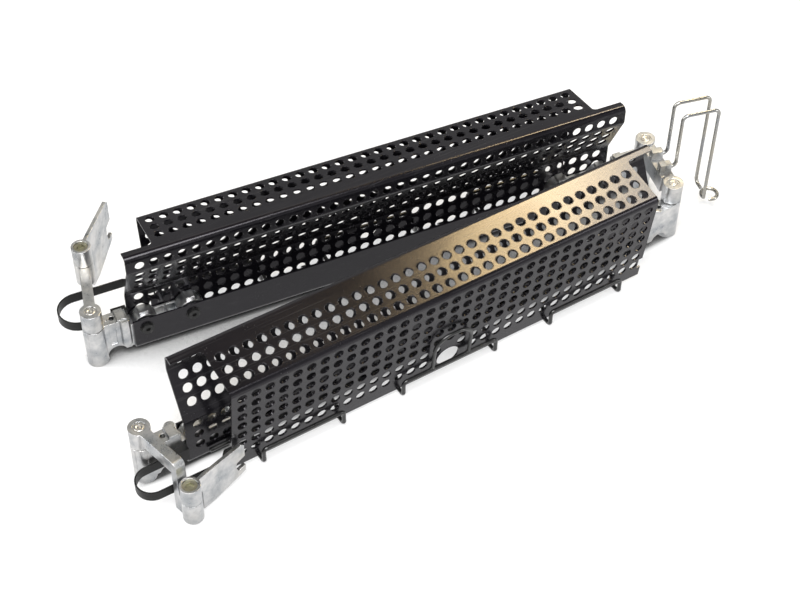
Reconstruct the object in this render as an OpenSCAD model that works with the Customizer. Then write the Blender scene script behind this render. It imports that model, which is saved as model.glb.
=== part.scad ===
// Folding cable management arm for a server rack.
// Two perforated sheet-steel trays are joined at one end by a double-pivot link with a wire
// cable guide. At the other end each tray carries a swinging link with a latch for the slide rail.
//
// A tray is modelled in its own frame: X runs along it with 0 at mid length, Y points from the
// spine to the outer wall, and Z is up from the ground. All lengths are millimetres.

/* [Perforated sheet] */
// Thickness of the tray sheet
sheet_t = 1.2; // [0.8:0.1:1.6]
// Spacing of the punched holes, along and across
pitch = 9.5; // [9:0.1:10]
// Diameter of a punched hole
hole_d = 6.5; // [4:0.5:6.5]
// Number of hole columns in the spine
spine_cols = 37; // [25:2:41]
// Plain margin from the last spine column to the tray's end
end_margin = 9.2; // [7:0.1:14]
// Columns that the top and outer wall lack at each end
cut_cols = 2; // [1:1:4]
// Plain margin beside the last column of the top and outer wall
wall_margin = 7.2; // [5:0.1:9]

/* [Tray section] */
// Height of the sheet's upper fold
tray_top = 88.2; // [84:0.1:96]
// Height of the outer wall's lower edge
wall_foot = 3.4; // [3.2:0.1:6]
// Width from the fold to the outer wall's top corner
tray_w = 42.5; // [40:0.5:52]
// Drop of the top face across the tray
top_drop = 7.7; // [2:0.1:12]
// Lean of the outer wall towards the channel, in degrees
wall_lean = 7; // [0:0.5:9]
// Upright strip below the fold
strip_h = 12.7; // [12.5:0.1:16]
// Height of the slanted part of the spine
slant_h = 33.9; // [30:0.1:37]
// Sideways run of the slanted part of the spine
slant_w = 16; // [10:0.5:20]
// Clear width of the channel for the castings at the spine's foot
channel_w = 11.8; // [11.6:0.1:15]
// Height of the channel's outer lip
lip_h = 24; // [18:0.5:28]
// Bend radius at the middle of the sheet
bend_r = 3; // [2:0.5:3]

/* [Hinges] */
// Distance of a hinge axis from the tray's end
hinge_reach = 25.2; // [22:0.1:40]
// Height of the top of the hinge knuckles
knuckle_top = 46; // [44:0.5:52]
// Height of a link's knuckle
knuckle_h = 14; // [12:0.5:16]
// Diameter of the knuckles and casting barrels
knuckle_d = 14; // [13:0.5:16]
// Diameter of the hinge pins
pin_d = 6; // [5:0.5:7]
// Radial running clearance round a pin
pin_gap = 0.05; // [0.02:0.01:0.08]
// Thickness of the washer between a link and a casting
washer_t = 0.8; // [0.5:0.1:1.5]
// Clearance between parts that are set side by side
side_gap = 0.3; // [0.2:0.05:0.5]

/* [Links and latches] */
// Distance between the pivots of a swinging link
link_len = 46; // [42:0.5:60]
// Height of the swinging and middle link bars
bar_h = 10; // [8:0.5:12]
// Width of the swinging links' bars
bar_w = 7; // [6:0.5:9]
// Diameter of the latch barrels
latch_d = 13; // [12:0.5:14]
// Height of a latch barrel
latch_barrel_h = 13.6; // [12:0.2:14]
// Thickness of a latch plate
latch_t = 2.4; // [1.5:0.1:4]
// Reach of the front latch plate from its pivot
front_latch_len = 44; // [30:0.5:45]
// Reach of the rear latch plate from its pivot
rear_latch_len = 46; // [36:0.5:50]
// Height of the front latch plate
front_latch_h = 30; // [26:0.5:30]
// Height of the rear latch plate
rear_latch_h = 44; // [36:0.5:48]

/* [Middle link and cable guide] */
// Distance between the two pivots of the middle link
mid_len = 49; // [46:0.5:60]
// Diameter of the guide wire
wire_d = 2.5; // [2:0.1:3.5]
// Height of the guide's upper runs
guide_top = 91; // [80:0.5:100]
// Height of the guide's lower ends
guide_foot = 9; // [6:0.5:20]
// Outward reach of the guide from the link's centre line
guide_reach = 35; // [28:0.5:45]
// Distance between the two guide loops
guide_gap = 14.4; // [12:0.2:18]

/* [Wire cover] */
// Diameter of the cover wire
cover_d = 2.8; // [2:0.1:3]
// Length of each outer run
cover_run = 58; // [40:1:64]
// Spacing of the three outer runs
cover_step = 110; // [90:1:112]
// Width of the finger loop on the middle run
loop_w = 28; // [20:1:32]
// Height of the finger loop above the run
loop_h = 30; // [20:1:36]

/* [Folded pose] */
// Angle of the middle link from the front tray's length, in degrees
mid_angle = 75; // [70:1:85]
// Angle between the two trays, in degrees
tray_angle = 7.75; // [4:0.25:10]
// Angle of a swinging link from its tray's length, in degrees
link_angle = 78; // [75:1:95]
// Angle of the front latch from its tray's length, in degrees
front_latch_angle = -16; // [-16:1:30]
// Angle of the rear latch from its tray's length, in degrees
rear_latch_angle = 52; // [30:1:80]

/* [Hidden] */
$fn = 48;

// The footprint's middle, measured from the front tray's centre, is the model's origin.
footprint_mid = [17.798, 72.542];

half_t = sheet_t / 2;
tray_len = (spine_cols - 1) * pitch + 2 * end_margin;
wall_cols = spine_cols - 2 * cut_cols;
wall_len = (wall_cols - 1) * pitch + 2 * wall_margin;

// Corners of the sheet's middle line, from the lip over the spine to the outer wall's foot
web_z = wall_foot + half_t + 0.2;
fold_y = -slant_w;
corner_z = tray_top - strip_h;
knee_z = corner_z - slant_h;
lip_y = -channel_w - sheet_t;
wall_y = fold_y + tray_w;
wall_top = tray_top - top_drop;
foot_y = wall_y - (wall_top - wall_foot) * tan(wall_lean);
outline = [
    [lip_y, web_z + lip_h], [lip_y, web_z], [0, web_z], [0, knee_z],
    [fold_y, corner_z], [fold_y, tray_top], [wall_y, wall_top], [foot_y, wall_foot]];

// Rows of holes, as distances from a panel's upper corner
row_top = pitch / 2 + 2;
strip_row = 4.3;
flange_first = 16.3;
wall_first = 13.4;

// Plain strip of the top face that runs the full length beside the fold
full_strip = 7.4;
// Relief in the ends of the outer wall
relief = [3, 9];
relief_z = 8.5;

// Hinge axis beside the spine
hinge_x = tray_len / 2 + hinge_reach;
hinge_y = -8.8;
barrel_top = knuckle_top - knuckle_h - washer_t;
casting_arm_w = 10;
casting_y = -half_t - channel_w / 2;
casting_bar_w = min(casting_arm_w, channel_w - 2 * side_gap);
casting_grip = 48;
screw_x = [9, 41];
screw_z = web_z + 16;
screw_d = 4;
screw_head = [8, 2];
peephole_d = 3.5;

// The swinging link's bar and the latch stand on these levels
bar_top = knuckle_top;
latch_bolt_d = 5;
bolt_head = [9.4, 4];
front_latch_top = 32;
rear_latch_top = knuckle_top + latch_barrel_h + 0.4;
end_knuckle_h = 16.5;
link_drop_t = 5;

// Wire cover: hinge rod inside the spine's foot and outer runs in front of the wall
clip_wall = 1.2;
rod_d = cover_d + 0.2;
rod_y = half_t - 0.3 + rod_d / 2 + pin_gap + clip_wall;
rod_z = web_z + bend_r + rod_d / 2 + 1.5;
run_stand = 3.6;
run_z = 13;
cross_z = cover_d / 2 + 0.1;
run_y = wall_line(run_z) + half_t + run_stand;
clip_w = 6;
clip_x = [-150, -52, 52, 150];

// Finger hole in the middle of the outer wall, behind the cover's loop
finger_d = 17;
finger_z = 11.5;

// Straps that carry the signal lead round the end hinges
strap = [1, 7];
strap_z = 28;
strap_y = casting_y + casting_bar_w / 2 + 2.5;
front_strap_z = strap_z - 8;

// Each strap's loop stays inside the circle that the front link's dropped leg sweeps
link_leg_r = link_len - latch_d / 2 - side_gap - 0.6 - link_drop_t;
strap_clear = 1.9;
front_strap_w = link_leg_r - strap_clear - (strap_y - hinge_y) - 0.9 * strap[0];
rear_strap_w = front_strap_w + 6;

function wall_line(z) = foot_y + (z - wall_foot) * tan(wall_lean);
function unit(v) = v / norm(v);
function heading(i) = atan2(outline[i + 1][1] - outline[i][1], outline[i + 1][0] - outline[i][0]);
function wrap(a) = a > 180 ? a - 360 : (a <= -180 ? a + 360 : a);
function turn(i) = wrap(heading(i) - heading(i - 1));
function setback(i) = (i == 0 || i == len(outline) - 1) ? 0 : bend_r * tan(abs(turn(i)) / 2);
function span(i) = norm(outline[i + 1] - outline[i]);
function polar(r, a) = [r * cos(a), r * sin(a)];

steel_black = [0.06, 0.06, 0.065];
cast_zinc = [0.72, 0.72, 0.7];
bright_steel = [0.8, 0.8, 0.8];

// ---- shared shapes ----

// Lays a child drawn flat at a panel's start corner into the section at panel i.
module on_panel(i) {
    translate([0, outline[i][0], outline[i][1]])
        rotate([heading(i), 0, 0])
            children();
}

// Flat part of panel i, len_x long, minus the 2-D children, which are drawn from its start corner.
module panel(i, len_x) {
    on_panel(i)
        translate([0, 0, -half_t])
            linear_extrude(sheet_t)
                difference() {
                    translate([-len_x / 2, setback(i)])
                        square([len_x, span(i) - setback(i) - setback(i + 1)]);
                    children();
                }
}

// Rounded corner between panels i - 1 and i. It is a hair thicker, so that both panels end
// inside it, and a hair shorter, so that its ends stand clear of theirs.
module bend(i, len_x) {
    side = sign(turn(i));
    from = outline[i] - setback(i) * polar(1, heading(i - 1));
    centre = from + bend_r * polar(1, heading(i - 1) + 90 * side);
    start = heading(i - 1) - 90 * side + min(0, turn(i));
    translate([0.05 - len_x / 2, centre[0], centre[1]])
        rotate([90, 0, 90])
            rotate(start - 1)
                rotate_extrude(angle = abs(turn(i)) + 2)
                    translate([bend_r - half_t - 0.02, 0])
                        square([sheet_t + 0.04, len_x - 0.1]);
}

// Row of holes across the tray at distance y along a panel.
module hole_row(cols, y) {
    for (c = [0:cols - 1])
        translate([(c - (cols - 1) / 2) * pitch, y])
            circle(d = hole_d, $fn = 24);
}

// Round bar from a to b.
module bar(a, b, d) {
    v = b - a;
    translate(a)
        rotate([0, acos(v[2] / norm(v)), atan2(v[1], v[0])])
            cylinder(h = norm(v), d = d);
}

// Wire of diameter d through the points p, with bends of radius r at the inner points.
// The bends are a touch thicker, so that each straight ends inside its bend.
module wire(p, d, r) {
    last = len(p) - 1;
    cut = [for (i = [0:last])
        (i == 0 || i == last) ? 0
        : r * tan(acos(min(1, unit(p[i] - p[i - 1]) * unit(p[i + 1] - p[i]))) / 2)];
    for (i = [0:last - 1]) {
        along = unit(p[i + 1] - p[i]);
        bar(p[i] + max(0, cut[i] - 0.5) * along, p[i + 1] - max(0, cut[i + 1] - 0.5) * along, d);
    }
    for (i = [1:1:last - 1]) {
        a = unit(p[i] - p[i - 1]);
        b = unit(p[i + 1] - p[i]);
        n = unit(b - (a * b) * a);
        c = p[i] - cut[i] * a + r * n;
        z = cross(-n, a);
        multmatrix([
            [-n[0], a[0], z[0], c[0]], [-n[1], a[1], z[1], c[1]], [-n[2], a[2], z[2], c[2]]])
            rotate_extrude(angle = acos(a * b))
                translate([r, 0])
                    circle(d = d + 0.12, $fn = 24);
    }
}

// Upright cylinder at a plan point.
module post(at, d, z0, z1) {
    translate([at[0], at[1], z0])
        cylinder(h = z1 - z0, d = d);
}

// Ring for the small washers.
module washer(at, z0) {
    color(bright_steel)
        difference() {
            post(at, knuckle_d - 1, z0 + 0.05, z0 + washer_t - 0.05);
            post(at, pin_d + 4 * pin_gap, z0 - 1, z0 + washer_t + 1);
        }
}

// ---- placing ----

module front_side() {
    mirror([0, 1, 0])
        children();
}

front_pivot = [hinge_x, -hinge_y];
rear_pivot = front_pivot + polar(mid_len, mid_angle);

module rear_side() {
    translate([rear_pivot[0], rear_pivot[1], 0])
        rotate(-tray_angle)
            translate([-hinge_x, -hinge_y, 0])
                children();
}

// Frame of the middle link: X runs from the front pivot to the rear one, Y outwards.
module on_mid_link() {
    translate([front_pivot[0], front_pivot[1], 0])
        rotate(mid_angle)
            mirror([0, 1, 0])
                children();
}

module placed() {
    translate([-footprint_mid[0], -footprint_mid[1], 0])
        children();
}

// ---- tray ----

module flange_panel() {
    panel(5, tray_len) {
        for (r = [0:2])
            hole_row(wall_cols, flange_first + r * pitch);
        for (s = [-1, 1])
            end_notch(s);
    }
}

// Cut that sets the top face back at one end, with a rounded inner corner.
module end_notch(s) {
    depth = (tray_len - wall_len) / 2;
    corner_r = 3;
    reach = tray_w + 10;
    translate([s * tray_len / 2, full_strip])
        mirror([s > 0 ? 1 : 0, 0])
            difference() {
                translate([-1, 0])
                    square([depth + 1, reach]);
                difference() {
                    translate([depth - corner_r, 0])
                        square([corner_r + 1, corner_r]);
                    translate([depth - corner_r, corner_r])
                        circle(corner_r);
                    translate([depth, -1])
                        square([2, reach]);
                }
            }
}

module wall_panel() {
    panel(6, wall_len) {
        for (r = [0:6])
            wall_row(span(6) - wall_first - r * pitch);
        translate([0, span(6) - finger_z])
            circle(d = finger_d);
        for (s = [-1, 1])
            translate([s * wall_len / 2 - (s > 0 ? relief[0] : 0), span(6) - relief_z - relief[1]])
                translate([s < 0 ? -1 : 0, 0])
                    square([relief[0] + 1, relief[1]]);
    }
}

// Row of the outer wall, left blank round the finger hole.
module wall_row(y) {
    for (c = [0:wall_cols - 1]) {
        at = [(c - (wall_cols - 1) / 2) * pitch, y];
        if (norm(at - [0, span(6) - finger_z]) > (finger_d + hole_d) / 2 + 0.8)
            translate(at)
                circle(d = hole_d, $fn = 24);
    }
}

// Spring loops that hold the cover's hinge rod against the spine's foot.
module rod_clips() {
    for (x = clip_x)
        translate([x - clip_w / 2, rod_y, rod_z])
            rotate([0, 90, 0])
                difference() {
                    cylinder(h = clip_w, d = rod_d + 2 * pin_gap + 2 * clip_wall);
                    translate([0, 0, -1])
                        cylinder(h = clip_w + 2, d = rod_d + 2 * pin_gap);
                }
}

module tray() {
    color(steel_black) {
        difference() {
            union() {
                panel(0, tray_len);
                bend(1, tray_len);
                panel(1, tray_len);
                bend(2, tray_len);
                panel(2, tray_len)
                    for (r = [0:2])
                        hole_row(spine_cols, span(2) - row_top + 2 - r * pitch);
                bend(3, tray_len);
                panel(3, tray_len)
                    for (r = [0:2])
                        hole_row(spine_cols, span(3) - row_top - r * pitch);
                bend(4, tray_len);
                panel(4, tray_len)
                    hole_row(spine_cols, strip_row);
                bend(5, tray_len);
                flange_panel();
                bend(6, wall_len);
                wall_panel();
                rod_clips();
            }
            lip_screw_holes();
        }
    }
}

module lip_screw_holes() {
    for (s = [-1, 1], x = screw_x)
        translate([s * (tray_len / 2 - x), lip_y - 5, screw_z])
            rotate([-90, 0, 0])
                cylinder(h = 9, d = screw_d + 0.4);
}

// ---- castings and fasteners ----

// Casting at the tray's left end: barrel, arm and the bar that the lip holds.
module casting() {
    end_x = -tray_len / 2;
    at = [-hinge_x, hinge_y];
    foot_z = web_z + half_t + 1;
    face_y = casting_y - casting_bar_w / 2;
    color(cast_zinc)
        difference() {
            union() {
                post(at, knuckle_d, 0, barrel_top);
                translate([-hinge_x, face_y, 5])
                    cube([hinge_reach - 2, casting_bar_w, barrel_top - 5]);
                translate([end_x - 9.5, face_y, 12])
                    cube([6, casting_bar_w, barrel_top - 10.4]);
                post([end_x - 5, face_y + 0.4], 7, 10, barrel_top + 0.8);
                translate([end_x - 6, face_y, foot_z])
                    cube([casting_grip + 6, casting_bar_w, 19]);
                for (x = screw_x)
                    screw_boss(end_x + x, face_y);
            }
            post(at, pin_d + 2 * pin_gap, 4, barrel_top + 1);
            translate([-hinge_x + 13, casting_y, barrel_top - 8])
                cylinder(h = 9, d = peephole_d);
            translate([-hinge_x + 13, face_y - 1, 3])
                rotate([-90, 0, 0])
                    cylinder(h = casting_bar_w + 2, d = 13);
            translate([-hinge_x + 9.5, face_y - 1, 12])
                cube([4.5, 1.8, barrel_top - 16]);
            for (x = screw_x)
                translate([end_x + x, face_y - 1, screw_z])
                    rotate([-90, 0, 0])
                        cylinder(h = 8, d = screw_d + 2 * pin_gap);
            for (k = [0:1])
                translate([end_x + screw_x[0] + 8.5 + 8 * k, face_y + 1.6, screw_z - 4])
                    cube([6.5, casting_bar_w - 3.2, 12]);
        }
}

// Round boss for a lip screw, with a lug that stands above the lip.
module screw_boss(x, face_y) {
    translate([x, face_y, screw_z])
        rotate([-90, 0, 0])
            cylinder(h = casting_bar_w, d = 19);
    translate([x - 3, face_y + 1.4, screw_z])
        cube([6, casting_bar_w - 2.8, 11.4]);
}

// Pin pressed into a casting, with its head sunk in the knuckle above.
module hinge_pin(x) {
    at = [x, hinge_y];
    color(bright_steel) {
        post(at, pin_d, 4.5, knuckle_top - 2.5);
        post(at, pin_d + 2, knuckle_top - 2.5, knuckle_top - 0.4);
    }
}

// Bore of a knuckle with the sink for the pin's head.
module knuckle_bore(at, z0) {
    post(at, pin_d + 2 * pin_gap, z0 - 1, knuckle_top + 1);
    post(at, pin_d + 2 + 4 * pin_gap, knuckle_top - 2.5 - pin_gap, knuckle_top + 1);
}

module casting_screws() {
    color(steel_black)
        for (s = [-1, 1], x = screw_x)
            translate([s * (tray_len / 2 - x), lip_y - half_t, screw_z])
                rotate([-90, 0, 0])
                    difference() {
                        union() {
                            cylinder(h = 8, d = screw_d);
                            translate([0, 0, -screw_head[1]])
                                cylinder(h = screw_head[1], d = screw_head[0]);
                        }
                        translate([0, 0, -screw_head[1] - 1])
                            cylinder(h = 2.2, d = 3.4, $fn = 6);
                    }
}

// ---- swinging links ----

link_from = [-hinge_x, hinge_y];
link_to = link_from + polar(link_len, link_angle);

// Link with the end knuckle at the given level; drop is true where the bar steps down to it.
// It is drawn along X and then turned onto its pivot.
module link(knuckle_z, drop) {
    bar_end = link_len - (drop ? latch_d / 2 + side_gap + 0.6 : 0);
    z0 = knuckle_top - knuckle_h;
    foot = knuckle_z - end_knuckle_h;
    color(cast_zinc)
        translate([link_from[0], link_from[1], 0])
            rotate(link_angle)
                difference() {
                    union() {
                        post([0, 0], knuckle_d, z0, knuckle_top);
                        post([link_len, 0], latch_d, foot, knuckle_z);
                        link_bar(0, bar_end - (drop ? 4 : 0), bar_w, bar_top - bar_h, bar_top);
                        link_bar(knuckle_d / 2 - 1, bar_end - 3, 3.2, z0 + 1, bar_top - bar_h + 1);
                        if (drop) {
                            link_bar(bar_end - link_drop_t, bar_end, bar_w, foot, bar_top - 4);
                            translate([bar_end - 4, bar_w / 2, bar_top - 4])
                                rotate([90, 0, 0])
                                    cylinder(h = bar_w, r = 4);
                            link_bar(bar_end - 1, link_len, bar_w, foot, knuckle_z);
                        }
                    }
                    knuckle_bore([0, 0], z0);
                    post([link_len, 0], latch_bolt_d + 2 * pin_gap, knuckle_z - 12, knuckle_z + 1);
                }
}

// Straight bar between two stations along a link.
module link_bar(x0, x1, w, z0, z1) {
    translate([x0, -w / 2, z0])
        cube([x1 - x0, w, z1 - z0]);
}

module latch_washer(z) {
    color(bright_steel)
        difference() {
            post(link_to, latch_d - 1, z + 0.05, z + 0.35);
            post(link_to, latch_bolt_d + 4 * pin_gap, z - 1, z + 2);
        }
}

module latch_bolt(knuckle_z) {
    top = knuckle_z + 0.4 + latch_barrel_h - 1;
    color([0.72, 0.6, 0.36])
        difference() {
            union() {
                post(link_to, latch_bolt_d, knuckle_z - 11.5, top - bolt_head[1] + 0.5);
                post(link_to, bolt_head[0], top - bolt_head[1], top);
            }
            translate([link_to[0], link_to[1], top - 2.4])
                cylinder(h = 3, d = 5.8, $fn = 6);
        }
}

// Barrel and hooked plate that push into the slide rail's latch.
module latch(top_z, plate_len, plate_h, angle) {
    bottom = top_z - latch_barrel_h;
    hook = 7;
    notch = plate_h * 0.29;
    head = plate_h * 0.4;
    color(cast_zinc)
        difference() {
            union() {
                post(link_to, latch_d, bottom, top_z);
                translate([link_to[0], link_to[1], top_z])
                    rotate(angle)
                        rotate([90, 0, 0])
                            translate([0, 0, -latch_t / 2])
                                linear_extrude(latch_t)
                                    polygon([
                                        [3.4, 0.5 - latch_barrel_h], [3.4, -0.6], [12, 0],
                                        [plate_len - 2, 0], [plate_len, -2],
                                        [plate_len, -head],
                                        [plate_len - hook, -head - 1.5],
                                        [plate_len - hook - 1, -head - notch * 0.6],
                                        [plate_len - hook + 1, -head - notch - 1],
                                        [plate_len, -head - notch],
                                        [plate_len - 0.5, -head - notch - 5],
                                        [plate_len * 0.4, -plate_h],
                                        [latch_d / 2 + 1.5, -plate_h],
                                        [latch_d / 2 + 1.5, 0.5 - latch_barrel_h]]);
            }
            post(link_to, latch_bolt_d + 2 * pin_gap, bottom - 1, top_z + 1);
            post(link_to, bolt_head[0] + 6 * pin_gap, top_z - 1 - bolt_head[1] - pin_gap, top_z + 1);
        }
}

// ---- middle link and cable guide ----

rib_at = [mid_len / 2 - guide_gap / 2 - 2.3, mid_len / 2 + guide_gap / 2 - 2.3];
leg_y = 8;
mid_w = 9;
seat_z = knuckle_top + 1;

module mid_link() {
    z0 = knuckle_top - knuckle_h;
    rib_t = 5.2;
    color(cast_zinc)
        on_mid_link()
            difference() {
                union() {
                    for (x = [0, mid_len])
                        post([x, 0], knuckle_d, z0, knuckle_top);
                    translate([0, -mid_w / 2, bar_top - bar_h - 2])
                        cube([mid_len, mid_w, bar_h]);
                    translate([8, -mid_w / 2 - 1, z0])
                        cube([mid_len - 16, 3, knuckle_h - 1]);
                    for (x = rib_at)
                        translate([x - rib_t / 2, -mid_w / 2, z0 + 2])
                            cube([rib_t, mid_w / 2 + leg_y - 4.2, seat_z + 2.2 - z0]);
                }
                for (x = [0, mid_len])
                    knuckle_bore([x, 0], z0);
                for (x = rib_at)
                    translate([x, -mid_w / 2 - 2, seat_z])
                        rotate([-90, 0, 0])
                            cylinder(h = leg_y + mid_w + 8, d = wire_d + 2 * pin_gap);
            }
}

// One loop of the guide: up from the rib, outwards, and down.
module guide_wire(x, foot) {
    bend = 4;
    color(bright_steel)
        on_mid_link()
            wire(concat(
                [[x, 1 - mid_w / 2, seat_z], [x, leg_y, seat_z], [x, leg_y, guide_top],
                 [x, guide_reach, guide_top]], foot), wire_d, bend);
}

// Eye that closes the front loop's free end.
module guide_eye() {
    eye_r = 5.8;
    color(bright_steel)
        on_mid_link()
            translate([rib_at[0] + 2.2, guide_reach + 5.37, guide_foot + 0.4])
                rotate(-112.3)
                    rotate_extrude(angle = 320)
                        translate([eye_r, 0])
                            circle(d = wire_d + 0.2, $fn = 24);
}

// ---- wire cover ----

// Outer run with its two hooked ends, centred at x.
module cover_hoop(x, span_x) {
    a = x - span_x / 2;
    drop_y = rod_y + 10.5;
    b = x + span_x / 2;
    wire([
        [a, rod_y, rod_z], [a, drop_y, rod_z], [a, drop_y, cross_z], [a, run_y, cross_z],
        [a, run_y, run_z], [b, run_y, run_z],
        [b, run_y, cross_z], [b, drop_y, cross_z], [b, drop_y, rod_z], [b, rod_y, rod_z]],
        cover_d, 2.6);
}

module finger_loop() {
    lean = tan(wall_lean) * loop_h;
    wire([
        [-loop_w / 2, run_y, run_z], [-loop_w / 2, run_y + lean, run_z + loop_h],
        [loop_w / 2, run_y + lean, run_z + loop_h], [loop_w / 2, run_y, run_z]],
        cover_d - 0.4, loop_w / 2 - 3);
}

module wire_cover() {
    color(steel_black) {
        for (k = [-1:1])
            cover_hoop(k * cover_step, cover_run + (k == 0 ? 14 : 0));
        finger_loop();
        bar([-tray_len / 2 + 14, rod_y, rod_z], [tray_len / 2 - 14, rod_y, rod_z], rod_d);
    }
}

// ---- straps ----

// Flat strap that leaves the channel, turns back round the end hinge and ends in its clip.
module strap(width, reach, z) {
    x_in = -tray_len / 2 - 4;
    turn_x = -hinge_x - reach;
    turn_r = width / 2;
    tail = -tray_len / 2 + 14;
    color([0.05, 0.05, 0.05])
        translate([0, strap_y + turn_r, z - strap[1]])
            linear_extrude(strap[1]) {
                translate([turn_x, turn_r - strap[0] / 2])
                    square([tail - turn_x - max(0, width - 19), strap[0]]);
                translate([turn_x, -turn_r - strap[0] / 2])
                    square([x_in - turn_x, strap[0]]);
                difference() {
                    translate([turn_x, 0])
                        circle(turn_r + strap[0] / 2);
                    translate([turn_x, 0])
                        circle(turn_r - strap[0] / 2);
                    translate([turn_x, -turn_r - 2])
                        square([turn_r + 4, 2 * turn_r + 4]);
                }
            }
}

module strap_clip(z) {
    x_in = -tray_len / 2 - 4;
    color([0.05, 0.05, 0.05])
        difference() {
            translate([x_in - 6, strap_y - 2.5, z - strap[1] - 1.5])
                cube([10, 5, strap[1] + 3]);
            translate([x_in - 7, strap_y - strap[0] / 2 - 0.05, z - strap[1] - 0.05])
                cube([7.05, strap[0] + 0.1, strap[1] + 0.1]);
        }
}

// ---- nodes ----

module front_tray() placed() front_side() tray();
module front_wire_cover() placed() front_side() wire_cover();
module front_end_casting() placed() front_side() casting();
module front_mid_casting() placed() front_side() mirror([1, 0, 0]) casting();
module front_casting_screws() placed() front_side() casting_screws();
module front_hinge_pin() placed() front_side() hinge_pin(-hinge_x);
module front_mid_pin() placed() front_side() hinge_pin(hinge_x);
module front_hinge_washer() placed() front_side() washer([-hinge_x, hinge_y], barrel_top);
module front_mid_washer() placed() front_side() washer([hinge_x, hinge_y], barrel_top);
module front_link() placed() front_side() link(front_latch_top - latch_barrel_h - 0.4, true);
module front_latch_washer() placed() front_side()
    latch_washer(front_latch_top - latch_barrel_h - 0.4);
module front_latch_bolt() placed() front_side()
    latch_bolt(front_latch_top - latch_barrel_h - 0.4);
module front_latch() placed() front_side()
    latch(front_latch_top, front_latch_len, front_latch_h, front_latch_angle);
module front_strap() placed() front_side() strap(front_strap_w, 4, front_strap_z);
module front_strap_clip() placed() front_side() strap_clip(front_strap_z);

module rear_tray() placed() rear_side() tray();
module rear_wire_cover() placed() rear_side() wire_cover();
module rear_end_casting() placed() rear_side() casting();
module rear_mid_casting() placed() rear_side() mirror([1, 0, 0]) casting();
module rear_casting_screws() placed() rear_side() casting_screws();
module rear_hinge_pin() placed() rear_side() hinge_pin(-hinge_x);
module rear_mid_pin() placed() rear_side() hinge_pin(hinge_x);
module rear_hinge_washer() placed() rear_side() washer([-hinge_x, hinge_y], barrel_top);
module rear_mid_washer() placed() rear_side() washer([hinge_x, hinge_y], barrel_top);
module rear_link() placed() rear_side() link(knuckle_top, false);
module rear_latch_washer() placed() rear_side() latch_washer(knuckle_top);
module rear_latch_bolt() placed() rear_side() latch_bolt(knuckle_top);
module rear_latch() placed() rear_side()
    latch(rear_latch_top, rear_latch_len, rear_latch_h, rear_latch_angle);
module rear_strap() placed() rear_side() strap(rear_strap_w, 3, strap_z);
module rear_strap_clip() placed() rear_side() strap_clip(strap_z);

module middle_link() placed() mid_link();
module front_guide_wire() placed() {
    guide_wire(rib_at[0], [[rib_at[0], guide_reach, guide_foot]]);
    guide_eye();
}
module rear_guide_wire() placed()
    guide_wire(rib_at[1], [
        [rib_at[1], guide_reach, guide_foot + 4], [rib_at[1] - 8, guide_reach, guide_foot + 4]]);

front_tray();
front_wire_cover();
front_end_casting();
front_mid_casting();
front_casting_screws();
front_hinge_pin();
front_mid_pin();
front_hinge_washer();
front_mid_washer();
front_link();
front_latch_washer();
front_latch_bolt();
front_latch();
front_strap();
front_strap_clip();
rear_tray();
rear_wire_cover();
rear_end_casting();
rear_mid_casting();
rear_casting_screws();
rear_hinge_pin();
rear_mid_pin();
rear_hinge_washer();
rear_mid_washer();
rear_link();
rear_latch_washer();
rear_latch_bolt();
rear_latch();
rear_strap();
rear_strap_clip();
middle_link();  // mid_link
front_guide_wire();
rear_guide_wire();
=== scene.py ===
# %% [markdown]
# A folding cable management arm carries the leads of a server when the server is pulled out.
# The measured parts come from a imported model, so this file only dresses them: a camera, light,
# finishes made from nodes, and the small details that a workshop adds by hand.
# Everything is in metres, and the model stands on the floor at the origin.

# %% Load the measured parts
import math
import bmesh
import bpy
from mathutils import Matrix, Vector


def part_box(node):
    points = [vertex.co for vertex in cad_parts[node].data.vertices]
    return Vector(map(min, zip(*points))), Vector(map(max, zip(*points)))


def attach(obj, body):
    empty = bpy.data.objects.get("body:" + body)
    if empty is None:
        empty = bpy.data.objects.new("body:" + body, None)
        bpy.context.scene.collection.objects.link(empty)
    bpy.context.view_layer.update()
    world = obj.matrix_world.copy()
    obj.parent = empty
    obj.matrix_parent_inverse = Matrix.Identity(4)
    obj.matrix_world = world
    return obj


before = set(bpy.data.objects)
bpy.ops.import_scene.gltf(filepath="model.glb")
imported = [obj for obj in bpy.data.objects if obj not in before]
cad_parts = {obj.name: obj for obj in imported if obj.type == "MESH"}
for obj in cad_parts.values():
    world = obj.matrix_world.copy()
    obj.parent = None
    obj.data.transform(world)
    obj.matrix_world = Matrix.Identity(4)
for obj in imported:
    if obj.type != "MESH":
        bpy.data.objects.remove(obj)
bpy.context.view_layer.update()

# %% [markdown]
# The camera looks down on the folded arm from its latch end with a long lens, so the trays
# run away from us without much perspective. A camera in Blender looks along its own -Z,
# so its three axes are written out as the columns of a turn matrix. A last small turn about
# its own axis levels the view.

# %% Set the camera
camera_place = Vector((-0.4433, -0.6905, 0.8325))
camera_ahead = Vector((0.3763, 0.5806, -0.7220))
camera_right = Vector((0.8392, -0.5439, 0.0))
camera_up = Vector((0.3927, 0.6059, 0.6918))
camera_roll = math.radians(0.6)
lens_mm = 75.97
sensor_mm = 36.0

def make_camera():
    data = bpy.data.cameras.new("camera")
    data.lens = lens_mm
    data.sensor_width = sensor_mm
    data.clip_end = 20.0
    camera = bpy.data.objects.new("camera", data)
    axes = Matrix((camera_right, camera_up, -camera_ahead)).transposed()
    turn = axes @ Matrix.Rotation(camera_roll, 3, "Z")
    camera.matrix_world = Matrix.Translation(camera_place) @ turn.to_4x4()
    bpy.context.scene.collection.objects.link(camera)
    bpy.context.scene.camera = camera
    return camera

camera = make_camera()
bpy.context.scene.view_settings.view_transform = "Standard"
print("camera lens:", camera.data.lens)

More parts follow.
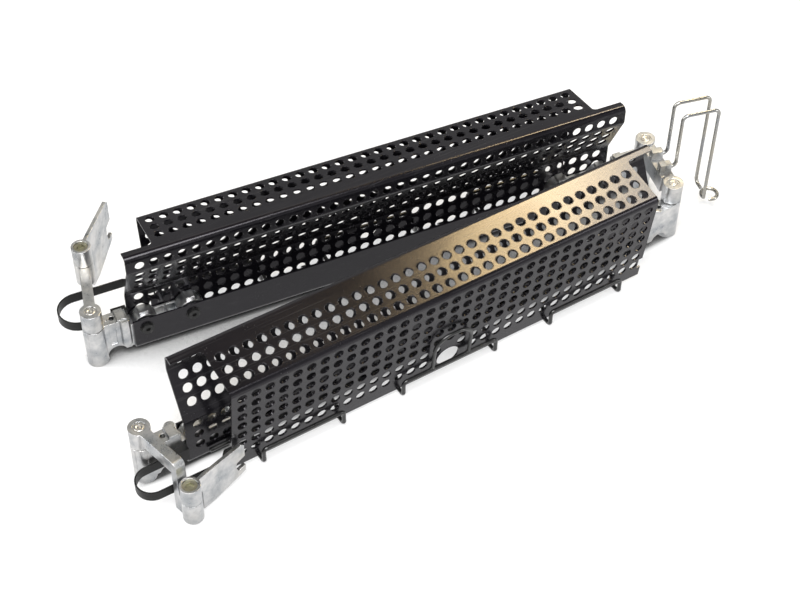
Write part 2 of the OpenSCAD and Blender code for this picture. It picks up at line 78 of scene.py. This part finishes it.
# %% [markdown]
# Node trees are easier to read as sums. This small class wraps an output socket, so that an
# expression such as 1 - mask * 0.5 adds the Math nodes by itself. Colours go through the mix
# method, because a Math node would turn them grey.

# %% A socket that can be used in sums
class Wire:
    def __init__(self, tree, socket):
        self.tree = tree
        self.socket = socket

    def maths(self, operation, *others, swap=False):
        node = self.tree.nodes.new("ShaderNodeMath")
        node.operation = operation
        values = [self, *others]
        if swap:
            values.reverse()
        for place, value in zip(node.inputs, values):
            join(self.tree, place, value)
        return Wire(self.tree, node.outputs[0])

    def __add__(self, other):
        return self.maths("ADD", other)

    def __radd__(self, other):
        return self.maths("ADD", other, swap=True)

    def __sub__(self, other):
        return self.maths("SUBTRACT", other)

    def __rsub__(self, other):
        return self.maths("SUBTRACT", other, swap=True)

    def __mul__(self, other):
        return self.maths("MULTIPLY", other)

    def __rmul__(self, other):
        return self.maths("MULTIPLY", other, swap=True)

    def __truediv__(self, other):
        return self.maths("DIVIDE", other)

    def clamped(self):
        return self.maths("MINIMUM", 1.0).maths("MAXIMUM", 0.0)

    def above(self, low, high):
        """0 below low, 1 above high, and a straight ramp between."""
        return ((self - low) / (high - low)).clamped()

def join(tree, place, value):
    if isinstance(value, Wire):
        tree.links.new(value.socket, place)
    else:
        place.default_value = value

# %% [markdown]
# A finish is one Principled shader with a few patterns in front of it. This helper holds the
# node tree of one finish. Its node method adds any node: settings are set first, then the
# values or links of its sockets. Patterns read Object coordinates, which are metres here.

# %% A helper that builds one finish
class Finish:
    def __init__(self, name):
        self.material = bpy.data.materials.new(name)
        self.material.use_nodes = True
        self.tree = self.material.node_tree
        self.tree.nodes.clear()
        self.shader = self.tree.nodes.new("ShaderNodeBsdfPrincipled")
        out = self.tree.nodes.new("ShaderNodeOutputMaterial")
        self.tree.links.new(self.shader.outputs[0], out.inputs["Surface"])
        self.place = Wire(self.tree, self.tree.nodes.new("ShaderNodeTexCoord").outputs["Object"])

    def node(self, kind, output=0, settings=None, **sockets):
        node = self.tree.nodes.new(kind)
        for key, value in (settings or {}).items():
            setattr(node, key, value)
        for key, value in sockets.items():
            join(self.tree, node.inputs[key.replace("_", " ")], value)
        return Wire(self.tree, node.outputs[output])

    def noise(self, scale, detail=4.0, roughness=0.55, place=None):
        return self.node("ShaderNodeTexNoise", Vector=place or self.place, Scale=scale,
                         Detail=detail, Roughness=roughness)

    def cells(self, scale):
        return self.node("ShaderNodeTexVoronoi", Vector=self.place, Scale=scale)

    def squeezed(self, x, y, z):
        """The place with each axis scaled, which draws a pattern out along one of them."""
        return self.node("ShaderNodeMapping", Vector=self.place, Scale=(x, y, z))

    def mix(self, share, first, second):
        node = self.tree.nodes.new("ShaderNodeMix")
        node.data_type = "RGBA"
        colours = [place for place in node.inputs if place.type == "RGBA"]
        join(self.tree, node.inputs[0], share)
        join(self.tree, colours[0], first)
        join(self.tree, colours[1], second)
        return Wire(self.tree, next(out for out in node.outputs if out.type == "RGBA"))

    def height(self, level, depth, strength=1.0, edge=0.0):
        """A bump of the given depth in metres, over edges that look rounded by edge metres."""
        bump = self.node("ShaderNodeBump", Height=level, Distance=depth, Strength=strength)
        if edge:
            soft = self.node("ShaderNodeBevel", 0, {"samples": 6}, Radius=edge)
            join(self.tree, bump.socket.node.inputs["Normal"], soft)
        return bump

    def set(self, **sockets):
        for key, value in sockets.items():
            join(self.tree, self.shader.inputs[key.replace("_", " ")], value)
        return self.material

def grey(value, warm=0.0):
    return (value * (1 + warm), value, value * (1 - warm), 1.0)

# %% [markdown]
# The trays are punched sheet steel under a gloss black enamel. Enamel is never flat: it has a
# fine orange-peel skin, a cloudy sheen where it was handled, pale dust in specks, and thin
# scratches drawn along the tray. Black paint is seen by what it mirrors, so the base colour is
# nearly nothing and the roughness patterns do the work, under a thin clear coat.

# %% Gloss black enamel for the trays
def black_enamel():
    f = Finish("black enamel")
    peel = f.noise(900, 2)
    cloud = f.noise(14, 5)
    smear = f.noise(1, 6, 0.65, place=f.squeezed(9, 70, 30))
    dust = 1 - f.cells(420).above(0.09, 0.16)
    dusty = dust * f.noise(60, 3).above(0.52, 0.66)
    scratch = 1 - (f.noise(1, 2, 0.4, place=f.squeezed(14, 900, 700)) - 0.62).above(0, 0.04)
    deep_black, worn_black = (0.0034, 0.0031, 0.0042, 1), (0.0062, 0.0057, 0.0072, 1)
    tone = f.mix(cloud.above(0.35, 0.7), deep_black, worn_black)
    tone = f.mix(dusty * 0.3, tone, grey(0.09))
    tone = f.mix((1 - scratch) * 0.12, tone, grey(0.06))
    sheen = 0.11 + 0.1 * cloud + 0.1 * smear + 0.22 * dusty
    skin = f.height(peel + 0.5 * f.noise(170, 3), 0.00006, 0.4)
    return f.set(Base_Color=tone, Roughness=sheen.clamped(), Normal=skin,
                 Coat_Roughness=0.07, Coat_Weight=0.04 + 0.1 * smear, IOR=1.38,
                 Specular_Tint=(0.97, 0.93, 1.0, 1))

# %% [markdown]
# The covers are bent from wire and dipped in plastic. The dip leaves a softer gloss than the
# enamel, with a slow waviness and rubbed patches that look grey.

# %% Dipped coat for the cover wires
def dipped_wire():
    f = Finish("dipped wire coat")
    wave = f.noise(120, 3)
    rubbed = f.noise(35, 6, 0.7).above(0.58, 0.72)
    tone = f.mix(rubbed * 0.5, grey(0.006), grey(0.03, 0.05))
    skin = f.height(wave + 0.35 * f.noise(1400, 2), 0.00008, 0.5)
    return f.set(Base_Color=tone, Roughness=0.24 + 0.3 * rubbed + 0.1 * wave, Normal=skin,
                 Coat_Weight=0.3 - 0.2 * rubbed, Coat_Roughness=0.12)

# %% [markdown]
# Castings come out of a steel mould and are tumbled bright. The skin is mottled: light and
# dark flow patches, tiny pits, drawn marks down the upright walls from leaving the mould, and
# a faint warm stain. A painted shade darkens the lowest 18 mm of each casting, near the floor.
# It is bare metal, so Metallic is 1 and the patches work through
# roughness and colour together. Tumbling also rounds the edges, which a Bevel node imitates
# by bending the shading near them.

# %% Bright tumbled casting
def cast_metal():
    f = Finish("tumbled casting")
    flow = f.noise(80, 6, 0.62)
    blotch = f.noise(170, 4, 0.6)
    drawn = f.noise(1, 4, 0.6, place=f.squeezed(900, 900, 55))
    pits = 1 - f.cells(900).above(0.06, 0.14)
    pitted = pits * f.noise(90, 2).above(0.46, 0.6)
    warm = f.noise(24, 3).above(0.5, 0.75)
    # Painted shade: this mask rises from 0 at the floor to 1 at 18 mm up, and the casting is
    # darkened below that.
    low = f.node("ShaderNodeSeparateXYZ", "Z", Vector=f.place).above(0.0, 0.018)
    tone = f.mix(flow.above(0.34, 0.66), grey(0.34, -0.06), grey(0.68, 0.01))
    tone = f.mix(blotch.above(0.6, 0.78) * 0.3, tone, grey(0.2, -0.06))
    tone = f.mix(warm * 0.3, tone, (0.66, 0.58, 0.44, 1))
    # The painted shade near the floor and the real pits both darken the casting towards this dark
    # grey.
    tone = f.mix((1 - low) * 0.25 + pitted * 0.5, tone, grey(0.16, 0.03))
    gloss = 0.16 + 0.18 * flow + 0.1 * drawn + 0.2 * pitted
    relief = 0.7 * blotch + 0.5 * drawn + 0.3 * f.noise(1500, 2) - 0.6 * pitted
    skin = f.height(relief, 0.00014, 0.7, edge=0.0006)
    return f.set(Base_Color=tone, Roughness=gloss.clamped(), Metallic=1.0, Normal=skin)

# %% [markdown]
# The guide loops are hard-drawn wire with a thin bright plating. The plating picks up a
# yellow cast in places, and fine noise stands for the grip marks of the bending tool.

# %% Plated spring wire
def plated_wire():
    f = Finish("plated spring wire")
    tint = f.noise(40, 4)
    grip = f.noise(700, 3)
    tone = f.mix(tint.above(0.35, 0.7), grey(0.33, -0.03), (0.42, 0.39, 0.32, 1))
    tone = f.mix(grip.above(0.58, 0.72) * 0.4, tone, grey(0.16))
    return f.set(Base_Color=tone, Roughness=0.16 + 0.22 * grip, Metallic=1.0,
                 Normal=f.height(grip, 0.00005, 0.4))

# %% [markdown]
# The pins and washers are turned on a lathe. A turned face shows fine rings round its centre,
# so each pin gets its own finish, which measures the distance from that pin's axis.

# %% Lathe-turned steel, with rings round a centre
def turned_steel(name, centre, tint=(0.62, 0.62, 0.6, 1), dark=0.3, rough=0.2):
    f = Finish(name)
    offset = f.node("ShaderNodeMapping", Vector=f.place,
                    Location=(-centre[0], -centre[1], 0.0), Scale=(1, 1, 0))
    radius = f.node("ShaderNodeVectorMath", "Value", {"operation": "LENGTH"}, Vector=offset)
    rings_per_metre = 21000
    rings = (radius * rings_per_metre).maths("SINE") * 0.5 + 0.5
    oil = f.noise(260, 4)
    tone = f.mix(oil.above(0.4, 0.72) * 0.6 + rings * 0.15, tint, grey(dark, 0.08))
    return f.set(Base_Color=tone, Roughness=rough + 0.16 * oil + 0.06 * rings, Metallic=1.0,
                 Normal=f.height(rings, 0.00002, 0.35))

# %% [markdown]
# Screws are blacked steel: a thin dark oxide that rubs through to grey in places. The strap is
# a soft moulded rubber strip with a fine grain and a slight bloom.

# %% Blacked screws and moulded rubber
def blacked_steel():
    f = Finish("blacked steel")
    worn = f.noise(500, 4).above(0.56, 0.7)
    tone = f.mix(worn * 0.5, grey(0.006), grey(0.07, 0.04))
    return f.set(Base_Color=tone, Roughness=0.3 + 0.2 * f.noise(900, 2), Metallic=0.2,
                 Normal=f.height(f.noise(1800, 2), 0.00003, 0.4))

def moulded_rubber():
    f = Finish("moulded rubber")
    bloom = f.noise(70, 5).above(0.45, 0.8)
    grain = f.noise(1600, 2)
    lines = (f.node("ShaderNodeSeparateXYZ", "Z", Vector=f.place) * 9000).maths("SINE")
    tone = f.mix(bloom * 0.5, grey(0.005), grey(0.014))
    return f.set(Base_Color=tone, Roughness=0.36 + 0.18 * bloom, IOR=1.34,
                 Normal=f.height(grain + lines * 0.25, 0.00006, 0.5))

# %% [markdown]
# Each measured part keeps its mesh and only gets a finish in its material slot. The names of
# the parts say what they are made of, so one short table is enough. A pin's axis is found
# from the middle of its own box.

# %% Put the finishes on the measured parts
def centre_of(node):
    low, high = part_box(node)
    return (low + high) / 2

enamel = black_enamel()
dipped = dipped_wire()
casting = cast_metal()
plated = plated_wire()
blacked = blacked_steel()
rubber = moulded_rubber()
table = {"tray": enamel, "cover": dipped, "screws": blacked, "strap": rubber,
         "guide": plated}

def finish_for(node):
    if "bolt" in node:
        yellow = (0.4, 0.39, 0.29, 1)
        return turned_steel(node + " yellow plate", centre_of(node), yellow, 0.1, 0.3)
    if "pin" in node or "washer" in node:
        return turned_steel(node + " steel", centre_of(node))
    for word, material in table.items():
        if word in node:
            return material
    return casting

for name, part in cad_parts.items():
    part.data.materials.clear()
    part.data.materials.append(finish_for(name))
print("finishes:", len(bpy.data.materials))

# %% [markdown]
# New pieces are shaped with bmesh operators. This helper turns a finished bmesh into an
# object, shades it smooth or flat, gives it a finish, and lets it ride on a moving body.

# %% From bmesh to a riding piece
def piece(name, bm, body, material, smooth=True):
    mesh = bpy.data.meshes.new(name)
    bmesh.ops.recalc_face_normals(bm, faces=bm.faces)
    for face in bm.faces:
        face.smooth = smooth
    bm.to_mesh(mesh)
    bm.free()
    obj = bpy.data.objects.new(name, mesh)
    bpy.context.scene.collection.objects.link(obj)
    mesh.materials.append(material)
    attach(obj, body)
    return obj

def turned(bm, profile, centre, steps=40):
    """Spins a profile of (radius, height) points round an upright axis and merges the ends."""
    points = [bm.verts.new(Vector((r, 0, z)) + centre) for r, z in profile]
    edges = [bm.edges.new(pair) for pair in zip(points, points[1:])]
    bmesh.ops.spin(bm, geom=points + edges, cent=centre, axis=(0, 0, 1), dvec=(0, 0, 0),
                   angle=math.tau, steps=steps, use_merge=True, use_duplicate=False)
    bmesh.ops.remove_doubles(bm, verts=bm.verts, dist=1e-7)

# %% [markdown]
# Each hinge pin is staked: a punch leaves a ring-shaped dent round a small domed centre, so
# the pin cannot work loose. The ring is a turned profile that sits on the pin's head.

# %% Staked rings on the hinge pins
stake_profile = [(0.0, 0.00022), (0.0007, 0.00018), (0.0012, 0.00002), (0.0015, 0.00002),
                 (0.0019, 0.00026), (0.0025, 0.0003), (0.0031, 0.00012), (0.0033, -0.0001),
                 (0.0, -0.0001)]

def staked_ring(node, body):
    low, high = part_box(node)
    centre = Vector(((low.x + high.x) / 2, (low.y + high.y) / 2, high.z))
    bm = bmesh.new()
    turned(bm, stake_profile, centre)
    return piece("staked_ring_" + node, bm, body,
                 turned_steel("staked " + node, centre, (0.7, 0.69, 0.66, 1), 0.36))

pins = {"front_hinge_pin": "front_arm", "front_mid_pin": "front_arm",
        "rear_hinge_pin": "rear_arm", "rear_mid_pin": "rear_arm"}
rings = [staked_ring(node, body) for node, body in pins.items()]
print("staked rings:", len(rings))

# %% [markdown]
# Small details are placed along each tray, so each tray gets its own little frame. The line
# through its two hinge pins gives the direction along the tray, and the pins stand 8.8 mm
# behind the face of the spine. A place is then: how far along, how far out, how high.

# %% A frame along each tray
class Tray:
    spine_offset = 0.0088

    def __init__(self, arm, side):
        first, last = centre_of(arm + "_hinge_pin"), centre_of(arm + "_mid_pin")
        self.arm = arm
        self.along = Vector((last.x - first.x, last.y - first.y, 0)).normalized()
        self.out = side * Vector((self.along.y, -self.along.x, 0))
        middle = (first + last) / 2
        self.middle = Vector((middle.x, middle.y, 0)) + self.spine_offset * self.out
        self.reach = (last - first).length / 2
        self.body = arm + "_arm"

    def at(self, along, out, up):
        """A place in metres from the tray's own measures."""
        return self.middle + along * self.along + out * self.out + Vector((0, 0, up))

    def turn(self):
        return Matrix((self.along, self.out, Vector((0, 0, 1)))).transposed()

trays = [Tray("front", 1), Tray("rear", -1)]
print("half spans:", [round(t.reach, 4) for t in trays])

# %% [markdown]
# A punch drags the sheet a little, so every hole has a fine raised lip on its outer side. The
# holes are found in the measured mesh itself: its sharp edges are walked into closed loops, and
# a loop is a hole when all its points lie 3.1 to 3.4 mm from its middle. Each lip then grows from
# its loop as a thin ring with three sides, sunk a little into the sheet.

# %% Walk the sharp edges of a mesh
sharp_angle = 1.2
longest_walk = 200

def sharp_loops(bm):
    """Closed walks along sharp edges: the first edge and the points in order."""
    sharp = {e for e in bm.edges
             if len(e.link_faces) == 2 and e.calc_face_angle(0.0) > sharp_angle}
    joined = {}
    for edge in sharp:
        for vert in edge.verts:
            joined.setdefault(vert, []).append(edge)
    left = set(sharp)
    for first in sorted(sharp, key=lambda e: e.index):
        if first not in left:
            continue
        left.discard(first)
        walk, vert = [first.verts[0]], first.verts[1]
        while vert is not walk[0] and len(walk) < longest_walk:
            walk.append(vert)
            ahead = [e for e in joined[vert] if e in left]
            if len(joined[vert]) != 2 or not ahead:
                break
            left.discard(ahead[0])
            vert = ahead[0].other_vert(vert)
        else:
            yield first, walk

# %% Raised lips round the punched holes
hole_reach = (0.0031, 0.0034)
fewest_points = 10
tray_core = (0.009, 0.046)
lip_profile = ((0.00004, -0.0002), (0.00016, 0.00013), (0.00052, -0.00006))

def flat_side(edge, middle):
    """The direction out of the sheet: of an edge's two faces, the one that isn't the bore."""
    spoke = (edge.verts[0].co - middle).normalized()
    return min(edge.link_faces, key=lambda face: abs(face.normal.dot(spoke))).normal

def add_lip(lips, walk, middle, away):
    rings = [[lips.verts.new(v.co + (v.co - middle).normalized() * reach + away * rise)
              for v in walk] for reach, rise in lip_profile]
    for one, two in zip(rings, rings[1:] + rings[:1]):
        for k in range(len(walk)):
            lips.faces.new((one[k], one[k - 1], two[k - 1], two[k]))

def hole_lips(tray):
    bm = bmesh.new()
    bm.from_mesh(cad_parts[tray.arm + "_tray"].data)
    bmesh.ops.remove_doubles(bm, verts=bm.verts, dist=1e-6)
    bm.normal_update()
    bm.edges.index_update()
    core = tray.at(0, *tray_core)
    lips = bmesh.new()
    count = 0
    for first, walk in sharp_loops(bm):
        middle = sum((v.co for v in walk), Vector()) / len(walk)
        reaches = [(v.co - middle).length for v in walk]
        round_hole = hole_reach[0] <= min(reaches) and max(reaches) <= hole_reach[1]
        if len(walk) < fewest_points or not round_hole:
            continue
        away = flat_side(first, middle)
        outward = middle - core - (middle - core).dot(tray.along) * tray.along
        if away.dot(outward) >= 0:
            add_lip(lips, walk, middle, away)
            count += 1
    bm.free()
    print(tray.arm, "lips:", count, "faces:", len(lips.faces))
    return piece("hole_lips_" + tray.arm, lips, tray.body, enamel)

lips = [hole_lips(tray) for tray in trays]
print("hole lip pieces:", len(lips))

# %% [markdown]
# Where a casting mould closes, a little metal creeps into the joint and leaves a raised line.
# Two lines run up the outer side of every barrel. Each starts as a cube, is stretched into a
# thin strip half sunk in the barrel, and its edges are bevelled round.

# %% Mould lines on the barrels
def strip_on(bm, centre, direction, radius, low, high, width=0.00035, proud=0.00014):
    made = bmesh.ops.create_cube(bm, size=1.0)["verts"]
    bmesh.ops.scale(bm, vec=(2 * proud, width, high - low), verts=made)
    bmesh.ops.translate(bm, vec=(radius, 0, (low + high) / 2), verts=made)
    angle = math.atan2(direction.y, direction.x)
    bmesh.ops.rotate(bm, cent=(0, 0, 0), matrix=Matrix.Rotation(angle, 3, "Z"), verts=made)
    bmesh.ops.translate(bm, vec=(centre.x, centre.y, 0), verts=made)

barrel_radius, line_foot, line_drop = 0.007, 0.0006, 0.002

def mould_lines(tray):
    bm = bmesh.new()
    for end, pin, part in ((-1, "_hinge_pin", "_end_casting"), (1, "_mid_pin", "_mid_casting")):
        centre = centre_of(tray.arm + pin)
        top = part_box(tray.arm + part)[1].z - line_drop
        for lean in (-0.9, 0.5):
            away = end * tray.along + lean * tray.out
            strip_on(bm, centre, away, barrel_radius, line_foot, top)
    bmesh.ops.bevel(bm, geom=bm.edges[:], offset=0.00008, offset_type="OFFSET", segments=2,
                    profile=0.5, affect="EDGES", material=-1)
    return piece("mould_lines_" + tray.arm, bm, tray.body, casting)

seams = [mould_lines(tray) for tray in trays]
print("mould lines:", len(seams))

# %% [markdown]
# A pin inside the mould pushes each casting out and leaves a round mark. The mark is a shallow
# ring with a flat middle, turned like the pin heads, on the arm between barrel and tie hole.

# %% Ejector marks on the castings
mark_inset, arm_out, arm_top = 0.0091, -0.0065, 0.0312
mark_profile = [(0.0, 0.00006), (0.0009, 0.00006), (0.00105, 0.0002), (0.0013, 0.0002),
                (0.00145, -0.0001), (0.0, -0.0001)]

def ejector_marks(tray):
    bm = bmesh.new()
    for end in (-1, 1):
        turned(bm, mark_profile, tray.at(end * (tray.reach - mark_inset), arm_out, arm_top), 28)
    return piece("ejector_marks_" + tray.arm, bm, tray.body, casting)

marks = [ejector_marks(tray) for tray in trays]
print("ejector marks:", len(marks))

# %% [markdown]
# The cover wires are spot welded where they cross. A weld leaves a small lump that flows
# into both wires. Each lump is a low ball from the icosphere operator, stretched along the
# joint, and all lumps of one cover are one piece.

# %% Weld lumps on the covers
cover_runs = ((-0.110, 0.029), (0.0, 0.036), (0.110, 0.029))
rod_place = (0.00365, 0.0102)
rod_lump = (0.0021, (0.95, 1.25, 0.85))
loop_half, loop_place = 0.014, (0.02241, 0.0133)
loop_lump = (0.0019, (1.25, 0.95, 0.95))

def lump(bm, tray, place, radius, stretch):
    made = bmesh.ops.create_icosphere(bm, subdivisions=3, radius=radius)["verts"]
    bmesh.ops.scale(bm, vec=stretch, verts=made)
    bmesh.ops.rotate(bm, cent=(0, 0, 0), matrix=tray.turn(), verts=made)
    bmesh.ops.translate(bm, vec=place, verts=made)

def weld_lumps(tray):
    low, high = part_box(tray.arm + "_wire_cover")
    print(tray.arm, "cover size:", [round(v, 3) for v in high - low])
    bm = bmesh.new()
    for middle, half in cover_runs:
        for side in (-1, 1):
            lump(bm, tray, tray.at(middle + side * half, *rod_place), *rod_lump)
    for side in (-1, 1):
        lump(bm, tray, tray.at(side * loop_half, *loop_place), *loop_lump)
    return piece("weld_lumps_" + tray.arm, bm, tray.arm + "_cover", dipped)

welds = [weld_lumps(tray) for tray in trays]
print("weld lumps:", len(welds))

# %% [markdown]
# The strap's loose end does not stop in the air: it curves in behind the wall and lies along
# the wall's inner face. The end is swept from a small rectangle along a smooth path: each step
# adds four points, and the points of neighbouring steps are joined by faces.

# %% Loose ends of the straps
def swept_band(bm, path, thick, low, high):
    rings = []
    for here, ahead in zip(path, path[1:] + [2 * path[-1] - path[-2]]):
        side = (ahead - here).normalized().cross(Vector((0, 0, 1))) * thick / 2
        rings.append([bm.verts.new(here + sign * side + Vector((0, 0, height)))
                      for sign, height in ((1, low), (1, high), (-1, high), (-1, low))])
    for first, second in zip(rings, rings[1:]):
        for k in range(4):
            bm.faces.new((first[k], first[k - 1], second[k - 1], second[k]))
    bm.faces.new(rings[0])
    bm.faces.new(rings[-1])

strap_thick, strap_width = 0.00096, 0.00696
strap_stop, strap_rest = -0.161, 0.0148
strap_wave = ((0.004, 0.0), (0.012, 0.0004), (0.02, 0.0008), (0.026, 0.0006))

def strap_end(tray, start, out, low):
    """Starts inside the measured strap, bends in to strap_rest and lies along the wall."""
    bm = bmesh.new()
    path = [tray.at(start - 0.001, out, 0)]
    for step in range(17):
        share = step / 16
        bend = share * share * (3 - 2 * share)
        path.append(tray.at(start + (strap_stop - start) * share,
                            out + (strap_rest - out) * bend, 0))
    path += [tray.at(strap_stop + along, strap_rest + rise, 0) for along, rise in strap_wave]
    swept_band(bm, path, strap_thick, low, low + strap_width)
    bmesh.ops.bevel(bm, geom=bm.edges[:], offset=0.00012, offset_type="OFFSET", segments=2,
                    profile=0.5, affect="EDGES", material=-1)
    return piece("strap_end_" + tray.arm, bm, tray.body, rubber)

strap_ends = [strap_end(trays[0], -0.1682, 0.022, 0.01302),
              strap_end(trays[1], -0.1742, 0.028, 0.02102)]
print("strap ends:", len(strap_ends))

# %% [markdown]
# Under each screw head in the lip lies a thin lock washer with a wavy edge. It is a circle
# of points, every other one pushed outwards, extruded to a thin ring and turned to face
# the back of the tray.

# %% Lock washers under the lip screws
upright = Matrix.Rotation(math.radians(90), 3, "X")
washer_points, washer_out, washer_in, washer_thick, tooth = 36, 0.0047, 0.0022, 0.0003, 1.07

def lock_washer(bm, place, turn):
    made = bmesh.ops.create_circle(bm, segments=washer_points, radius=washer_out)["verts"]
    for count, vert in enumerate(made):
        if count % 2:
            vert.co *= tooth
    inner = bmesh.ops.create_circle(bm, segments=washer_points, radius=washer_in)["verts"]
    ring = bmesh.ops.bridge_loops(bm, edges=list({e for v in made + inner for e in v.link_edges}))
    up = bmesh.ops.extrude_face_region(bm, geom=ring["faces"])
    raised = [v for v in up["geom"] if isinstance(v, bmesh.types.BMVert)]
    bmesh.ops.translate(bm, vec=(0, 0, washer_thick), verts=raised)
    group = made + inner + raised
    bmesh.ops.rotate(bm, cent=(0, 0, 0), matrix=upright, verts=group)
    bmesh.ops.rotate(bm, cent=(0, 0, 0), matrix=turn, verts=group)
    bmesh.ops.translate(bm, vec=place, verts=group)

hinge_reach = 0.0252
screw_insets = (0.009, 0.041)
lip_out, screw_up = -0.0136, 0.0202

def lock_washers(tray):
    bm = bmesh.new()
    half = tray.reach - hinge_reach
    for side in (-1, 1):
        for inset in screw_insets:
            lock_washer(bm, tray.at(side * (half - inset), lip_out, screw_up), tray.turn())
    return piece("lock_washers_" + tray.arm, bm, tray.body, blacked, smooth=False)

washers = [lock_washers(tray) for tray in trays]
print("lock washers:", len(washers))

# %% [markdown]
# The floor is a large pale sheet. To the camera it should look almost white and still keep a
# soft shadow, so its shader mixes an ordinary matt white with a plain white glow, which only
# camera, mirror and see-through rays meet. Little light reaches the narrow gap between the two
# trays, so there the white is turned down: an Ambient Occlusion node tells how closed in a
# place is, and the trays' frames tell the gap.

# %% A pale floor
def floor_finish():
    f = Finish("pale floor")
    opening = f.node("ShaderNodeAmbientOcclusion", "AO", {"samples": 16}, Distance=0.13)
    x = f.node("ShaderNodeSeparateXYZ", "X", Vector=f.place)
    y = Wire(f.tree, x.socket.node.outputs["Y"])
    deep = 1 - opening.above(0.34, 0.72)
    for tray in trays:
        inside = x * tray.out.x + y * tray.out.y - tray.middle.dot(tray.out)
        deep = deep * (1 - inside.above(-0.002, 0.002))
    f.set(Base_Color=f.mix(deep, grey(0.86), grey(0.1)), Roughness=0.9)
    path = f.tree.nodes.new("ShaderNodeLightPath")
    seen = Wire(f.tree, path.outputs["Is Camera Ray"])
    glossy = Wire(f.tree, path.outputs["Is Glossy Ray"])
    through = Wire(f.tree, path.outputs["Is Transmission Ray"])
    glow = f.tree.nodes.new("ShaderNodeEmission")
    glow.inputs["Strength"].default_value = 1.0
    blend = f.tree.nodes.new("ShaderNodeMixShader")
    join(f.tree, blend.inputs[0], (seen + through).clamped() * (1 - deep) * 0.6 + glossy * 0.85)
    f.tree.links.new(f.shader.outputs[0], blend.inputs[1])
    f.tree.links.new(glow.outputs[0], blend.inputs[2])
    out = next(n for n in f.tree.nodes if n.type == "OUTPUT_MATERIAL")
    f.tree.links.new(blend.outputs[0], out.inputs["Surface"])
    return f.material

def make_floor():
    bm = bmesh.new()
    bmesh.ops.create_grid(bm, x_segments=1, y_segments=1, size=6.0)
    mesh = bpy.data.meshes.new("floor")
    bm.to_mesh(mesh)
    bm.free()
    floor = bpy.data.objects.new("floor", mesh)
    bpy.context.scene.collection.objects.link(floor)
    floor.data.materials.append(floor_finish())
    return floor

floor = make_floor()
print("floor:", [round(v, 1) for v in floor.dimensions])

# %% [markdown]
# The world is white to the camera. To every other ray it is a room with pale walls and a dark
# ceiling, so level black faces stay black while upright ones pick up some light.

# %% The world
def make_world():
    world = bpy.data.worlds.new("studio")
    bpy.context.scene.world = world
    world.use_nodes = True
    tree = world.node_tree
    tree.nodes.clear()
    path = tree.nodes.new("ShaderNodeLightPath")
    seen = Wire(tree, path.outputs["Is Camera Ray"])
    place = tree.nodes.new("ShaderNodeTexCoord")
    parts = tree.nodes.new("ShaderNodeSeparateXYZ")
    tree.links.new(place.outputs["Generated"], parts.inputs[0])
    horizon = 1 - Wire(tree, parts.outputs["Z"]).above(0.3, 0.62)
    room = 0.09 + 0.5 * horizon
    glow = tree.nodes.new("ShaderNodeBackground")
    glow.inputs["Color"].default_value = (1, 1, 1, 1)
    join(tree, glow.inputs["Strength"], room + seen * (1 - room))
    out = tree.nodes.new("ShaderNodeOutputWorld")
    tree.links.new(glow.outputs[0], out.inputs["Surface"])

make_world()
print("world:", bpy.context.scene.world.name)

# %% [markdown]
# Gloss black and bright metal show their surroundings more than their own colour, so the lamps
# are large soft boxes. The key box hangs above the camera, where no level face that it sees
# mirrors it, and two smaller boxes fill from the left and the right. The back panel is what
# the level tops of the castings mirror. The warm and the pale box hang where the sloping face
# of the front tray mirrors them, which draws the golden glow along it.

# %% Soft boxes
def soft_box(name, at, aim, size, power, colour=(1, 1, 1)):
    data = bpy.data.lights.new(name, "AREA")
    data.color = colour
    data.shape = "RECTANGLE"
    data.size, data.size_y = size
    data.energy = power
    lamp = bpy.data.objects.new(name, data)
    lamp.location = at
    lamp.rotation_euler = (Vector(aim) - Vector(at)).to_track_quat("-Z", "Y").to_euler()
    bpy.context.scene.collection.objects.link(lamp)
    return lamp

lamps = [
    soft_box("key box", (-0.5, -0.75, 1.9), (0, 0, 0), (1.5, 1.2), 66),
    soft_box("left fill", (-1.7, 0.5, 1.3), (0, 0, 0.04), (0.9, 0.9), 22),
    soft_box("right strip", (1.3, -1.3, 0.9), (0, 0, 0.04), (0.3, 1.3), 12),
    soft_box("back panel", (0.75, 1.16, 1.44), (0, 0, 0.04), (1.3, 0.9), 3.2, (1, 0.97, 0.9)),
    soft_box("warm box", (0.83, 0.42, 1.5), (0.05, -0.07, 0.09), (0.18, 0.3), 7.2,
             (1, 0.75, 0.37)),
    soft_box("pale box", (1.05, 0.41, 1.5), (0.13, -0.07, 0.09), (0.32, 0.3), 5.2,
             (1, 0.96, 0.84))]
print("lamps:", [lamp.name for lamp in lamps])
